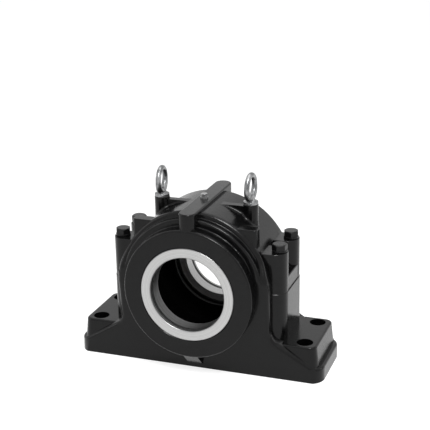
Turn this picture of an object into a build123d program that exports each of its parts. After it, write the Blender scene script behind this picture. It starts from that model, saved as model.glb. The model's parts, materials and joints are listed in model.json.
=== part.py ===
"""Split plummer block housing for a 150 mm shaft, 31 series proportions.

Frame: X runs along the foot, Y is the shaft axis, Z is up. The origin is the middle of the foot's
bearing face. All sizes are in millimetres.
"""

import math
import os

from build123d import *

# ---------------------------------------------------------------- driving dimensions

# Shaft line and foot
centre_height = 170.0  # foot face to shaft axis, and the height of the split
shaft_diameter = 150.0
foot_length = 510.0
foot_width = 152.0
foot_end_height = 30.0
foot_corner_radius = 30.0
foot_edge_radius = 5.5

# Holding-down bolt pattern and the pads around it
hole_end_distance = 40.0  # foot's end to the nearer row of holes
hole_spacing_y = 98.0
hole_diameter = 32.0
hole_rim = 2.0
pad_height = 72.0
pad_inner = 130.0  # inner end of a pad, inside the wall
pad_end_margin = 9.0  # ledge left between the foot of each pad and the foot's end
pad_corner_radius = 19.0
pad_draft = 6.0  # degrees
pad_edge_radius = 4.5

# Side walls of the base, seen end on
wall_half_width = 155.0
wall_slope = 31.5  # degrees, shoulder of the wall down to the foot's ends
wall_slope_margin = 12.0  # flat left at each end of the foot
cheek_rise = 20.0  # the leaning faces go on this far up the cap, then slope in to the barrel
cheek_slope = 14.0
wall_root_radius = 30.0
face_lean = 17.0  # how far the front and rear faces lean out from the foot to the split
face_edge_radius = 9.0

# Barrel, its shoulders and the hubs that hold the seals
barrel_width = 152.0
barrel_edge_radius = 8.0
shoulder_step = 11.0  # below the barrel's surface
shoulder_width = 182.0
shoulder_edge_radius = 4.0
hub_step = 14.0  # below the shoulder's surface
hub_width = 234.0
hub_edge_radius = 4.0
hub_root_radius = 2.5
hub_web_half_width = 15.0  # web below each hub, down to the foot
hub_web_toe = 8.0

# Bearing chamber
bearing_outer_diameter = 280.0
bearing_seat_width = 108.0
chamber_relief_depth = 6.0
chamber_width = 124.0

# Corner columns, the flange between them and the cap bolts
column_reach = 178.0
column_half_spread = 65.0
column_radius = 25.0
column_rise = 80.0  # split to the seats of the bolt heads
column_edge_chamfer = 0.8
column_inner = 104.0  # inner end of a cap column, inside the barrel wall
flange_thickness = 28.0
flange_edge_radius = 2.0
flange_inset = 1.0
split_step = 0.8  # the cap's flange stands this far inside the base's
bolt_spacing_x = 323.0
bolt_spacing_y = 80.0
bolt_diameter = 18.0
bolt_depth = 36.0  # below the split
bolt_hole_spare = 10.0
bolt_clearance = 1.0
bolt_head_across_flats = 27.0
bolt_head_height = 11.5
bolt_head_turns = (25.0, 54.0, 54.0, 16.0)  # degrees each head stands at once tightened
bolt_head_chamfer = 1.6
bolt_tip_chamfer = 1.5
washer_thickness = 4.0
washer_outer_diameter = 29.4
washer_gap = 3.0
thread_clearance = 0.05

# Locating pins in the split
pin_diameter = 8.0
pin_length = 24.0
pin_offset = 164.0
pin_end_clearance = 0.5
pin_chamfer = 0.8

# Rib along the top of the cap
rib_width = 34.0
rib_rise = 161.0  # above the shaft axis
rib_corner_radius = 16.5
rib_edge_radius = 3.0

# Lifting eyebolts and their bosses
eye_offset = 92.0
eye_boss_radius = 15.0
eye_boss_rise = 155.5  # above the shaft axis
eye_boss_root_radius = 4.5
eye_corner_radius = 7.0  # between the boss and the web
eye_cut_margin = 3.0
eye_cut_skin = 0.05
eye_web_width = 14.0
eye_web_drop = 4.0  # top of the web below the top of the boss
eye_web_run = 59.0  # the web dies into the barrel this far in towards the rib
eye_collar_radius = 14.5
eye_collar_height = 7.0
eye_collar_slope = 1.5
eye_neck_radius = 11.0
eye_neck_height = 12.0
eye_ring_diameter = 57.0
eye_wire_diameter = 12.0
eye_height = 62.0
eye_thread_diameter = 12.0
eye_thread_length = 20.0
eye_hole_spare = 4.0

# Flat pads on the front of the cap, one at each shoulder
front_pad_rise = 127.5  # above the shaft axis
front_pad_end = 126.0
front_pad_inner = 70.0  # inner end, inside the barrel wall
front_pad_front = 72.0
front_pad_depth = 24.0
front_pad_corner_radius = 6.0
front_pad_edge_radius = 2.0

# Labyrinth rings and the grooves they turn in
seal_ring_radius = 94.0
seal_ring_length = 40.0
seal_collar_radius = 104.0
seal_collar_width = 7.0
seal_collar_first = 9.0
seal_collar_pitch = 15.0
seal_tail_radius = 90.0
seal_tail_length = 8.0
seal_running_gap = 0.4
seal_mouth_chamfer = 1.5
seal_ring_chamfer = 0.8
cord_diameter = 7.6
cord_groove_start = 6.0
cord_groove_width = 8.4
cord_fit = 0.3

# Plugs
grease_plug_position = -9.0  # along the rib from the middle
grease_plug_across_flats = 12.0
grease_thread_diameter = 10.0
grease_bore_diameter = 6.0
drain_plug_offset = 30.0
drain_plug_drop = 12.0  # below the underside of the hub
drain_thread_diameter = 16.0
drain_bore_depth = 40.0
drain_plug_across_flats = 17.0
plug_thread_length = 10.0
plug_hole_spare = 3.0
plug_head_height = 7.0
plug_head_chamfer = 1.0
plug_flange_extra = 0.8
plug_flange_thickness = 3.0

# ---------------------------------------------------------------- sizes worked out from them

shaft_radius = shaft_diameter / 2
seat_radius = bearing_outer_diameter / 2
barrel_radius = wall_half_width
shoulder_radius = barrel_radius - shoulder_step
hub_radius = shoulder_radius - hub_step
wall_half_thickness = barrel_width / 2
shoulder_half = shoulder_width / 2
hub_half = hub_width / 2
pad_end = foot_length / 2 - pad_end_margin
pad_side = foot_width / 2
slope_end = foot_length / 2 - wall_slope_margin
foot_half = foot_width / 2
hub_bore_radius = seal_ring_radius + seal_running_gap
hub_groove_radius = seal_collar_radius + seal_running_gap
hole_spacing_x = foot_length - 2 * hole_end_distance
column_height = centre_height + column_rise
rib_top = centre_height + rib_rise
eye_boss_top = centre_height + eye_boss_rise
eye_web_top = eye_boss_top - eye_web_drop
front_pad_top = centre_height + front_pad_rise
bolt_head_base = column_height + washer_thickness
hub_bottom = centre_height - hub_radius
drain_plug_height = hub_bottom - drain_plug_drop
seal_collar_starts = [seal_collar_first, seal_collar_first + seal_collar_pitch]
cord_centre_radius = shaft_radius + cord_fit + cord_diameter / 2
cord_groove_radius = cord_centre_radius + cord_diameter / 2 + thread_clearance
eye_ring_centre = eye_boss_top + eye_height - eye_ring_diameter / 2
across_corners = 2 / math.sqrt(3)
bolt_places = [
    (side * bolt_spacing_x / 2, end * bolt_spacing_y / 2) for end in (-1, 1) for side in (-1, 1)
]

shaft_axis = Axis((0, 0, centre_height), (0, 1, 0))
shaft_axis_up = Axis((0, 0, centre_height), (0, -1, 0))
split_plane = Plane.XY.offset(centre_height)


def lean_at(height):
    """Half distance between the base's leaning faces at a height above the foot face."""
    return foot_half + face_lean * height / centre_height


def leaning_plane(x, height):
    """Plane on the base's leaning rear face, facing out of it."""
    lean = math.degrees(math.atan(face_lean / centre_height))
    origin = (x, lean_at(height), height)
    return Plane(origin=origin, x_dir=(1, 0, 0), z_dir=Vector(0, 1, 0).rotate(Axis.X, -lean))


def section_plane(x, y):
    """Upright plane along X through a vertical axis at (x, y), for turned pieces."""
    return Plane(origin=(x, y, 0), x_dir=(1, 0, 0), z_dir=(0, -1, 0))


def wall_outline():
    """Corner points of the base wall seen end on, from the foot up to the split."""
    rise = (slope_end - wall_half_width) * math.tan(math.radians(wall_slope))
    knee = foot_end_height + rise
    right = [
        (slope_end, 0),
        (slope_end, foot_end_height),
        (wall_half_width, knee),
        (wall_half_width, centre_height),
    ]
    left = [(-x, z) for x, z in reversed(right)]
    return right + left


def profile_points(profile, radius, half_width):
    """Corners of a turned profile at one radius, on both sides of the middle."""
    return [
        vertex
        for vertex in profile.vertices()
        if abs(vertex.X - radius) < 0.1 and abs(abs(vertex.Y) - half_width) < 0.1
    ]


def knee_points(profile):
    """Corners where the wall's outline turns from its upright sides to its slopes."""
    return [
        vertex
        for vertex in profile.vertices()
        if abs(abs(vertex.X) - wall_half_width) < 0.1 and vertex.Y < centre_height - 1
    ]


def on_wall(edge):
    """Whether an edge lies on the sides or slopes of a wall, above the foot's ends."""
    middle = edge.center()
    above_foot = foot_end_height + 0.5 < middle.Z < centre_height - 0.5
    return above_foot and abs(middle.X) > wall_half_width / 2


drain_plane = leaning_plane(drain_plug_offset, drain_plug_height)

# ---------------------------------------------------------------- bearing chamber and hub bores

# The hollow that the base and the cap share, as one turned shape about the shaft axis.
with BuildPart() as chamber:
    with BuildSketch(Plane.XY.offset(centre_height)) as chamber_section:
        with Locations((seat_radius / 2, 0)):
            Rectangle(seat_radius, bearing_seat_width)
        with Locations(((seat_radius - chamber_relief_depth) / 2, 0)):
            Rectangle(seat_radius - chamber_relief_depth, chamber_width)
        with Locations((hub_bore_radius / 2, 0)):
            Rectangle(hub_bore_radius, hub_width)
        for side in (-1, 1):
            for start in seal_collar_starts:
                depth = start + seal_collar_width / 2
                with Locations((hub_groove_radius / 2, side * (hub_half - depth))):
                    Rectangle(hub_groove_radius, seal_collar_width + 2 * seal_running_gap)
            with BuildLine():
                Polyline(
                    (0, side * hub_half),
                    (hub_bore_radius + seal_mouth_chamfer, side * hub_half),
                    (hub_bore_radius, side * (hub_half - seal_mouth_chamfer)),
                    (0, side * (hub_half - seal_mouth_chamfer)),
                    close=True,
                )
            make_face()
    revolve(axis=shaft_axis, revolution_arc=360)

# ---------------------------------------------------------------- base

# Wall across the foot: the outline of the housing's end, whose front and rear faces lean out from
# the foot to the split and have broad rounded edges.
with BuildPart() as base_wall:
    with BuildSketch(Plane.XZ) as wall_profile:
        with BuildLine():
            Polyline(*wall_outline(), close=True)
        make_face()
        fillet(knee_points(wall_profile), wall_root_radius)
    extrude(amount=lean_at(centre_height), both=True)
    with BuildSketch(Plane.YZ):
        with BuildLine():
            Polyline(
                (-lean_at(0), 0),
                (lean_at(0), 0),
                (lean_at(centre_height), centre_height),
                (-lean_at(centre_height), centre_height),
                close=True,
            )
        make_face()
    extrude(amount=foot_length, both=True, mode=Mode.INTERSECT)
    rims = [
        edge
        for edge in base_wall.edges()
        if abs(abs(edge.center().Y) - lean_at(edge.center().Z)) < 1 and on_wall(edge)
    ]
    fillet(rims, face_edge_radius)
    with BuildSketch(Plane.XY):
        RectangleRounded(foot_length, 2 * lean_at(foot_end_height), foot_corner_radius)
        Rectangle(foot_length - 2 * foot_corner_radius, 2 * lean_at(centre_height))
    extrude(amount=centre_height, mode=Mode.INTERSECT)

# Foot slab, whose long faces lean with the raised faces.
with BuildPart() as foot:
    with BuildSketch(Plane.XY):
        RectangleRounded(foot_length, 2 * lean_at(foot_end_height), foot_corner_radius)
    extrude(amount=foot_end_height)
    fillet(foot.faces().sort_by(Axis.Z)[-1].edges(), foot_edge_radius)
    with BuildSketch(Plane.YZ):
        with BuildLine():
            Polyline(
                (-lean_at(0), 0),
                (lean_at(0), 0),
                (lean_at(centre_height), centre_height),
                (-lean_at(centre_height), centre_height),
                close=True,
            )
        make_face()
    extrude(amount=foot_length, both=True, mode=Mode.INTERSECT)

# Pad under the heads of the holding-down bolts, for the right-hand end.
with BuildPart() as pad:
    with BuildSketch(Plane.XY.offset(foot_end_height - foot_edge_radius)):
        with Locations(((pad_end + pad_inner) / 2, 0)):
            RectangleRounded(pad_end - pad_inner, 2 * pad_side, pad_corner_radius)
    extrude(amount=pad_height - foot_end_height + foot_edge_radius, taper=pad_draft)
    fillet(pad.faces().sort_by(Axis.Z)[-1].edges(), pad_edge_radius)

# Corner columns of the base, one block from the foot to the split.
with BuildPart() as base_block:
    with BuildSketch(Plane.XY):
        RectangleRounded(
            2 * (column_reach + split_step),
            2 * (column_half_spread + split_step),
            column_radius + split_step,
        )
    extrude(amount=centre_height)
    chamfer(base_block.faces().sort_by(Axis.Z)[-1].edges(), split_step)

# Lower halves of the hubs, and the web that carries each down to the foot.
with BuildPart() as base_hub:
    with BuildSketch(Plane.XY.offset(centre_height)) as base_hub_section:
        with Locations((hub_radius / 2, 0)):
            Rectangle(hub_radius, hub_width)
        fillet(base_hub_section.vertices().group_by(Axis.X)[-1], hub_edge_radius)
    revolve(axis=shaft_axis, revolution_arc=360)
    with BuildSketch(Plane.YZ) as web_profile:
        with BuildLine():
            Polyline(
                (-lean_at(hub_web_toe), hub_web_toe),
                (lean_at(hub_web_toe), hub_web_toe),
                (hub_half - hub_edge_radius, hub_bottom + hub_edge_radius),
                (hub_edge_radius - hub_half, hub_bottom + hub_edge_radius),
                close=True,
            )
        make_face()
    extrude(amount=hub_web_half_width, both=True)
    split(bisect_by=split_plane, keep=Keep.BOTTOM)

with BuildPart() as housing_base:
    add(foot.part)
    add(base_wall.part)
    add(pad.part)
    add(mirror(pad.part, about=Plane.YZ))
    add(base_block.part)
    add(base_hub.part)
    add(chamber.part, mode=Mode.SUBTRACT)
    # Holding-down holes
    with Locations((0, 0, pad_height)):
        with GridLocations(hole_spacing_x, hole_spacing_y, 2, 2):
            Hole(hole_diameter / 2, depth=pad_height)
    # Threaded holes for the cap bolts, and holes for the locating pins
    with Locations((0, 0, centre_height)):
        with GridLocations(bolt_spacing_x, bolt_spacing_y, 2, 2):
            Hole(bolt_diameter / 2 + thread_clearance, depth=bolt_depth + bolt_hole_spare)
        with GridLocations(2 * pin_offset, 1, 2, 1):
            Hole(pin_diameter / 2 + thread_clearance, depth=pin_length / 2 + pin_end_clearance)
    # Drain hole from the rear face into the bottom of the chamber
    with Locations(drain_plane):
        Hole(drain_thread_diameter / 2 + thread_clearance, depth=drain_bore_depth)
housing_base.part.label = "housing_base"

# ---------------------------------------------------------------- cap

# Barrel, shoulders and upper hubs, as one stepped profile turned half a turn about the axis.
with BuildPart() as cap_shell:
    with BuildSketch(Plane.XY.offset(centre_height)) as shell_section:
        with BuildLine():
            Polyline(
                (0, -hub_half),
                (hub_radius, -hub_half),
                (hub_radius, -shoulder_half),
                (shoulder_radius, -shoulder_half),
                (shoulder_radius, -wall_half_thickness),
                (barrel_radius, -wall_half_thickness),
                (barrel_radius, wall_half_thickness),
                (shoulder_radius, wall_half_thickness),
                (shoulder_radius, shoulder_half),
                (hub_radius, shoulder_half),
                (hub_radius, hub_half),
                (0, hub_half),
                close=True,
            )
        make_face()
        fillet(profile_points(shell_section, hub_radius, hub_half), hub_edge_radius)
        fillet(profile_points(shell_section, hub_radius, shoulder_half), hub_root_radius)
        fillet(profile_points(shell_section, shoulder_radius, shoulder_half), shoulder_edge_radius)
        fillet(profile_points(shell_section, shoulder_radius, wall_half_thickness), hub_root_radius)
        fillet(profile_points(shell_section, barrel_radius, wall_half_thickness), barrel_edge_radius)
    revolve(axis=shaft_axis_up, revolution_arc=180)

# Cheeks: the base's leaning faces go on a little way up the cap and slope in to the barrel.
with BuildPart() as cap_cheeks:
    with BuildSketch(split_plane):
        RectangleRounded(2 * wall_half_width, 2 * lean_at(centre_height), face_edge_radius)
    extrude(amount=cheek_rise + cheek_slope)
    with BuildSketch(Plane.YZ.offset(-wall_half_width)):
        with BuildLine():
            Polyline(
                (-lean_at(centre_height), centre_height),
                (lean_at(centre_height), centre_height),
                (lean_at(centre_height), centre_height + cheek_rise),
                (lean_at(centre_height) - cheek_slope, centre_height + cheek_rise + cheek_slope),
                (cheek_slope - lean_at(centre_height), centre_height + cheek_rise + cheek_slope),
                (-lean_at(centre_height), centre_height + cheek_rise),
                close=True,
            )
        make_face()
    extrude(amount=2 * wall_half_width, mode=Mode.INTERSECT)
    with BuildSketch(Plane.XZ):
        with Locations((0, centre_height)):
            Circle(barrel_radius)
    extrude(amount=lean_at(centre_height), both=True, mode=Mode.INTERSECT)

# Flange over the whole block, and a column for each cap bolt that stands just proud of it.
with BuildPart() as cap_flange:
    with BuildSketch(split_plane):
        RectangleRounded(
            2 * (column_reach - flange_inset),
            2 * (column_half_spread - flange_inset),
            column_radius - flange_inset,
        )
    extrude(amount=flange_thickness)
    fillet(cap_flange.faces().sort_by(Axis.Z)[-1].edges(), flange_edge_radius)
with BuildPart() as cap_columns:
    with BuildSketch(split_plane):
        with GridLocations(column_reach + column_inner, bolt_spacing_y, 2, 2):
            SlotOverall(column_reach - column_inner, 2 * column_radius)
    extrude(amount=column_rise)
    chamfer(cap_columns.faces().sort_by(Axis.Z)[-4:].edges(), column_edge_chamfer)

# Rib along the top, the full length of the hubs.
with BuildPart() as cap_rib:
    with BuildSketch(Plane.XY.offset(centre_height + seal_ring_radius)):
        RectangleRounded(rib_width, hub_width, rib_corner_radius)
    extrude(amount=rib_top - centre_height - seal_ring_radius)
    fillet(cap_rib.faces().sort_by(Axis.Z)[-1].edges(), rib_edge_radius)

# Boss under each eyebolt with the web that ties it to the top of the barrel, drawn tall so that
# one fillet runs all round their foot, and the block outside the barrel that cuts the web level.
with BuildPart() as eye_stem:
    with BuildSketch(Plane.XY.offset(centre_height + seal_ring_radius)) as stem_outline:
        with Locations((eye_offset, 0)):
            Circle(eye_boss_radius)
        with Locations((eye_offset - eye_web_run / 2, 0)):
            SlotOverall(eye_web_run + eye_web_width / 2, eye_web_width)
        corners = [
            vertex
            for vertex in stem_outline.vertices()
            if vertex.X > eye_offset - eye_boss_radius and vertex.X < eye_offset - 1
        ]
        fillet(corners, eye_corner_radius)
    extrude(amount=eye_boss_top - centre_height - seal_ring_radius + eye_web_drop)
with BuildPart() as eye_cut:
    cut_start = rib_width / 2 + eye_cut_margin
    cut_end = eye_offset + eye_boss_radius + 2 * eye_boss_root_radius
    with BuildSketch(Plane.XY.offset(eye_web_top)):
        with Locations(((cut_start + cut_end) / 2, 0)):
            Rectangle(cut_end - cut_start, 2 * (eye_boss_radius + 2 * eye_boss_root_radius))
    extrude(amount=3 * eye_web_drop)
    with BuildSketch(Plane.XZ):
        with Locations((0, centre_height)):
            Circle(barrel_radius + eye_cut_skin)
    extrude(amount=cut_end, both=True, mode=Mode.SUBTRACT)
with BuildPart() as eye_boss:
    with BuildSketch(Plane.XY.offset(eye_web_top)):
        with Locations((eye_offset, 0)):
            Circle(eye_boss_radius)
    extrude(amount=eye_web_drop)
    chamfer(eye_boss.faces().sort_by(Axis.Z)[-1].edges(), column_edge_chamfer)

# Flat pad on the front of the barrel at the right shoulder, level with the barrel beside it.
with BuildPart() as front_pad:
    with BuildSketch(split_plane):
        middle = (
            (front_pad_end + front_pad_inner) / 2,
            front_pad_depth / 2 - front_pad_front,
        )
        with Locations(middle):
            RectangleRounded(
                front_pad_end - front_pad_inner,
                front_pad_depth,
                front_pad_corner_radius,
            )
    extrude(amount=front_pad_rise)
    fillet(front_pad.faces().sort_by(Axis.Z)[-1].edges(), front_pad_edge_radius)

with BuildPart() as housing_cap:
    add(cap_shell.part)
    add(eye_stem.part)
    add(mirror(eye_stem.part, about=Plane.YZ))
    stem_roots = [
        edge
        for edge in housing_cap.edges()
        if edge.geom_type not in (GeomType.CIRCLE, GeomType.LINE)
        and edge.center().Z < eye_boss_top
    ]
    fillet(stem_roots, eye_boss_root_radius)
    add(eye_cut.part, mode=Mode.SUBTRACT)
    add(mirror(eye_cut.part, about=Plane.YZ), mode=Mode.SUBTRACT)
    for feature in (eye_boss.part, front_pad.part):
        add(feature)
        add(mirror(feature, about=Plane.YZ))
    add(cap_rib.part)
    add(cap_cheeks.part)
    add(cap_flange.part)
    add(cap_columns.part)
    add(chamber.part, mode=Mode.SUBTRACT)
    # Clearance holes for the cap bolts, down through the columns and the flange
    with Locations((0, 0, column_height)):
        with GridLocations(bolt_spacing_x, bolt_spacing_y, 2, 2):
            Hole(bolt_diameter / 2 + bolt_clearance, depth=column_rise)
    # Holes for the locating pins, threaded holes for the eyebolts and the grease plug
    with Locations((0, 0, centre_height + pin_length / 2 + pin_end_clearance)):
        with GridLocations(2 * pin_offset, 1, 2, 1):
            Hole(pin_diameter / 2 + thread_clearance, depth=pin_length / 2 + pin_end_clearance)
    with Locations((0, 0, eye_boss_top)):
        with GridLocations(2 * eye_offset, 1, 2, 1):
            Hole(
                eye_thread_diameter / 2 + thread_clearance,
                depth=eye_thread_length + eye_hole_spare,
            )
    with Locations((0, grease_plug_position, rib_top)):
        Hole(
            grease_thread_diameter / 2 + thread_clearance,
            depth=plug_thread_length + plug_hole_spare,
        )
        Hole(grease_bore_diameter / 2, depth=rib_top - centre_height)
housing_cap.part.label = "housing_cap"

# ---------------------------------------------------------------- cap bolts and spring washers


def hexagon(across_flats, height, base, chamfer_depth):
    """Hexagon head standing on a base height, with the corners of its top turned off."""
    with BuildPart() as head:
        with BuildSketch(Plane.XY.offset(base)):
            RegularPolygon(across_flats / 2, 6, major_radius=False)
        extrude(amount=height)
        with BuildSketch(Plane.XZ):
            corner = across_flats / 2 * across_corners
            flat = across_flats / 2 * 0.95
            with BuildLine():
                Polyline(
                    (0, base),
                    (corner, base),
                    (corner, base + height - chamfer_depth),
                    (flat, base + height),
                    (0, base + height),
                    close=True,
                )
            make_face()
        revolve(axis=Axis.Z, mode=Mode.INTERSECT)
    return head.part


with BuildPart() as cap_bolt:
    add(hexagon(bolt_head_across_flats, bolt_head_height, bolt_head_base, bolt_head_chamfer))
    shank_length = bolt_head_base - centre_height + bolt_depth
    with BuildSketch(Plane.XY.offset(bolt_head_base - shank_length)):
        Circle(bolt_diameter / 2)
    extrude(amount=shank_length)
    chamfer(cap_bolt.faces().sort_by(Axis.Z)[0].edges(), bolt_tip_chamfer)

# The washer's cut runs across the ring at a slant, as it does on the spring steel section.
with BuildPart() as spring_washer:
    with BuildSketch(Plane.XY.offset(column_height)):
        Circle(washer_outer_diameter / 2)
        Circle(bolt_diameter / 2 + bolt_clearance, mode=Mode.SUBTRACT)
    extrude(amount=washer_thickness)
    with BuildSketch(Plane.XZ):
        with BuildLine():
            Polyline(
                (-washer_gap, column_height),
                (0, column_height),
                (washer_gap, column_height + washer_thickness),
                (0, column_height + washer_thickness),
                close=True,
            )
        make_face()
    extrude(amount=washer_outer_diameter, mode=Mode.SUBTRACT)

cap_bolts = []
spring_washers = []
for number, ((x, y), turn) in enumerate(zip(bolt_places, bolt_head_turns), start=1):
    with BuildPart() as placed_bolt:
        with Locations((x, y, 0)):
            add(cap_bolt.part, rotation=(0, 0, turn))
    placed_bolt.part.label = f"cap_bolt_{number}"
    cap_bolts.append(placed_bolt)
    with BuildPart() as placed_washer:
        with Locations((x, y, 0)):
            add(spring_washer.part, rotation=(0, 0, 3 * turn))
    placed_washer.part.label = f"spring_washer_{number}"
    spring_washers.append(placed_washer)

# ---------------------------------------------------------------- locating pins

locating_pins = []
for number, side in enumerate((-1, 1), start=1):
    with BuildPart() as locating_pin:
        with BuildSketch(split_plane.offset(-pin_length / 2)):
            with Locations((side * pin_offset, 0)):
                Circle(pin_diameter / 2)
        extrude(amount=pin_length)
        chamfer(locating_pin.edges().filter_by(GeomType.CIRCLE), pin_chamfer)
    locating_pin.part.label = f"locating_pin_{number}"
    locating_pins.append(locating_pin)

# ---------------------------------------------------------------- eyebolts

eyebolts = []
for name, side in (("left", -1), ("right", 1)):
    with BuildPart() as eyebolt:
        # Collar, neck and threaded shank, turned about the eyebolt's own axis
        with BuildSketch(section_plane(side * eye_offset, 0)):
            with BuildLine():
                Polyline(
                    (0, eye_boss_top - eye_thread_length),
                    (eye_thread_diameter / 2, eye_boss_top - eye_thread_length),
                    (eye_thread_diameter / 2, eye_boss_top),
                    (eye_collar_radius, eye_boss_top),
                    (eye_collar_radius, eye_boss_top + eye_collar_height - eye_collar_slope),
                    (eye_neck_radius, eye_boss_top + eye_collar_height),
                    (eye_wire_diameter / 2, eye_boss_top + eye_neck_height),
                    (0, eye_boss_top + eye_neck_height),
                    close=True,
                )
            make_face()
        revolve(axis=Axis((side * eye_offset, 0, 0), (0, 0, 1)))
        # Ring, in the plane across the housing
        eye_centre = (side * eye_offset, 0, eye_ring_centre)
        with Locations(Plane(origin=eye_centre, x_dir=(0, 1, 0), z_dir=(1, 0, 0))):
            Torus((eye_ring_diameter - eye_wire_diameter) / 2, eye_wire_diameter / 2)
    eyebolt.part.label = f"eyebolt_{name}"
    eyebolts.append(eyebolt)

# ---------------------------------------------------------------- labyrinth rings and O-rings

labyrinth_rings = []
o_rings = []
for name, side in (("front", -1), ("rear", 1)):
    outer_face = side * hub_half
    with BuildPart() as labyrinth_ring:
        with BuildSketch(Plane.XY.offset(centre_height)) as ring_section:
            body_middle = side * (hub_half - seal_ring_length / 2)
            with Locations((seal_ring_radius / 2, body_middle)):
                Rectangle(seal_ring_radius, seal_ring_length)
            for start in seal_collar_starts:
                collar_middle = side * (hub_half - start - seal_collar_width / 2)
                with Locations((seal_collar_radius / 2, collar_middle)):
                    Rectangle(seal_collar_radius, seal_collar_width)
            tail_middle = side * (hub_half - seal_ring_length + seal_tail_length / 2)
            with Locations(((seal_tail_radius + seal_collar_radius) / 2, tail_middle)):
                tail_trim = seal_collar_radius - seal_tail_radius
                Rectangle(tail_trim, seal_tail_length, mode=Mode.SUBTRACT)
            with Locations((shaft_radius / 2, body_middle)):
                Rectangle(shaft_radius, seal_ring_length, mode=Mode.SUBTRACT)
            groove_middle = side * (hub_half - cord_groove_start - cord_groove_width / 2)
            with Locations(((shaft_radius + cord_groove_radius) / 2, groove_middle)):
                groove_depth = cord_groove_radius - shaft_radius
                Rectangle(groove_depth, cord_groove_width, mode=Mode.SUBTRACT)
            mouth_corners = [
                vertex
                for vertex in ring_section.vertices()
                if abs(vertex.Y - outer_face) < 0.1
            ]
            chamfer(mouth_corners, seal_ring_chamfer)
        revolve(axis=shaft_axis, revolution_arc=360)
    labyrinth_ring.part.label = f"labyrinth_ring_{name}"
    labyrinth_rings.append(labyrinth_ring)
    with BuildPart() as o_ring:
        cord_middle = side * (hub_half - cord_groove_start - cord_groove_width / 2)
        with BuildSketch(Plane.XY.offset(centre_height)):
            with Locations((cord_centre_radius, cord_middle)):
                Circle(cord_diameter / 2)
        revolve(axis=shaft_axis, revolution_arc=360)
    o_ring.part.label = f"o_ring_{name}"
    o_rings.append(o_ring)

# ---------------------------------------------------------------- grease plug and drain plug


def plug(across_flats, thread_diameter):
    """Hexagon plug with a flange, standing on the plane Z = 0 with its thread below."""
    with BuildPart() as body:
        with BuildSketch(Plane.XY):
            Circle(across_flats / 2 * across_corners + plug_flange_extra)
        extrude(amount=plug_flange_thickness)
        add(hexagon(across_flats, plug_head_height, plug_flange_thickness, plug_head_chamfer))
        with BuildSketch(Plane.XY):
            Circle(thread_diameter / 2)
        extrude(amount=-plug_thread_length)
        chamfer(body.faces().sort_by(Axis.Z)[0].edges(), pin_chamfer)
    return body.part


with BuildPart() as grease_plug:
    with Locations((0, grease_plug_position, rib_top)):
        add(plug(grease_plug_across_flats, grease_thread_diameter))
grease_plug.part.label = "grease_plug"

with BuildPart() as drain_plug:
    with Locations(drain_plane):
        add(plug(drain_plug_across_flats, drain_thread_diameter))
drain_plug.part.label = "drain_plug"

# ---------------------------------------------------------------- files

pieces = [
    housing_base,
    housing_cap,
    *cap_bolts,
    *spring_washers,
    *locating_pins,
    *eyebolts,
    *labyrinth_rings,
    *o_rings,
    grease_plug,
    drain_plug,
]
os.makedirs("parts", exist_ok=True)
for piece in pieces:
    export_step(piece.part, f"parts/{piece.part.label}.step")
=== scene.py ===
"""Split plummer block: finishes, finished fasteners, studio and camera over the CAD frame.

The frame gives every place. The castings and the turned rings keep their CAD shape and get
their finish here. Cap bolts, spring washers and eyebolts are grown by Geometry Nodes at the places
measured on the nodes they replace.
"""

import json
import logging
import math
from dataclasses import dataclass, field, replace
from enum import Enum
from typing import Sequence

import bmesh
import bpy
from mathutils import Matrix, Vector


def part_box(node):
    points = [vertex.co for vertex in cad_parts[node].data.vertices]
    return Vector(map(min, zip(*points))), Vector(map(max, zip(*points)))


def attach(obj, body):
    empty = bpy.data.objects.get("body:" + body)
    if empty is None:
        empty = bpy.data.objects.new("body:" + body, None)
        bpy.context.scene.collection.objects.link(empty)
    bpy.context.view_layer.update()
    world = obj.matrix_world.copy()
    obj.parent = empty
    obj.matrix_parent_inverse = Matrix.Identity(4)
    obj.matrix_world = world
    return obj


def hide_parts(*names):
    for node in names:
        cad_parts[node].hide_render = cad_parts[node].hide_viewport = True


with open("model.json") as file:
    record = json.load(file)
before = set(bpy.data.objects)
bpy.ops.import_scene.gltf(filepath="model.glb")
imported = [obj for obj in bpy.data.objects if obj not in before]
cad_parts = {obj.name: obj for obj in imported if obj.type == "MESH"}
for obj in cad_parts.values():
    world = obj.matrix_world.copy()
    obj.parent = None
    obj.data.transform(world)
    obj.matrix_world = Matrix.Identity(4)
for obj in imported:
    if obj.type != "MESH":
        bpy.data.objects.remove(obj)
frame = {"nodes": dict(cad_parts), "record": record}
log = logging.getLogger("plummer_block")

MM = 0.001
AXIS_HEIGHT = 170 * MM
SAME_POINT = 0.004 * MM
NO_LENGTH = 0.002 * MM

Colour = tuple[float, float, float]

# Sockets of a colour Mix node, which has one set for each data type
COLOUR_A, COLOUR_B, MIXED_COLOUR = 6, 7, 2

# Part of a noise's range that is stretched over a whole mask
SLOW_RANGE = (0.35, 0.65)
FINE_RANGE = (0.3, 0.7)


class Slot(str, Enum):
    """Material slots named in the record."""

    BLACK_PAINT = "black_paint"
    PAINTED_FASTENER = "painted_fastener"
    TURNED_STEEL = "turned_steel"
    ZINC = "zinc"
    PLUG_STEEL = "plug_steel"
    PIN_STEEL = "pin_steel"
    RUBBER = "rubber"


class Body(str, Enum):
    """Rigid bodies of the frame."""

    HOUSING = "housing"
    FRONT_RING = "front_ring"
    REAR_RING = "rear_ring"


class Ray(str, Enum):
    """Kinds of ray that the white background is shown to."""

    CAMERA = "Is Camera Ray"
    GLOSSY = "Is Glossy Ray"
    TRANSMISSION = "Is Transmission Ray"


# ---------------------------------------------------------------- node graph helpers


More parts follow.
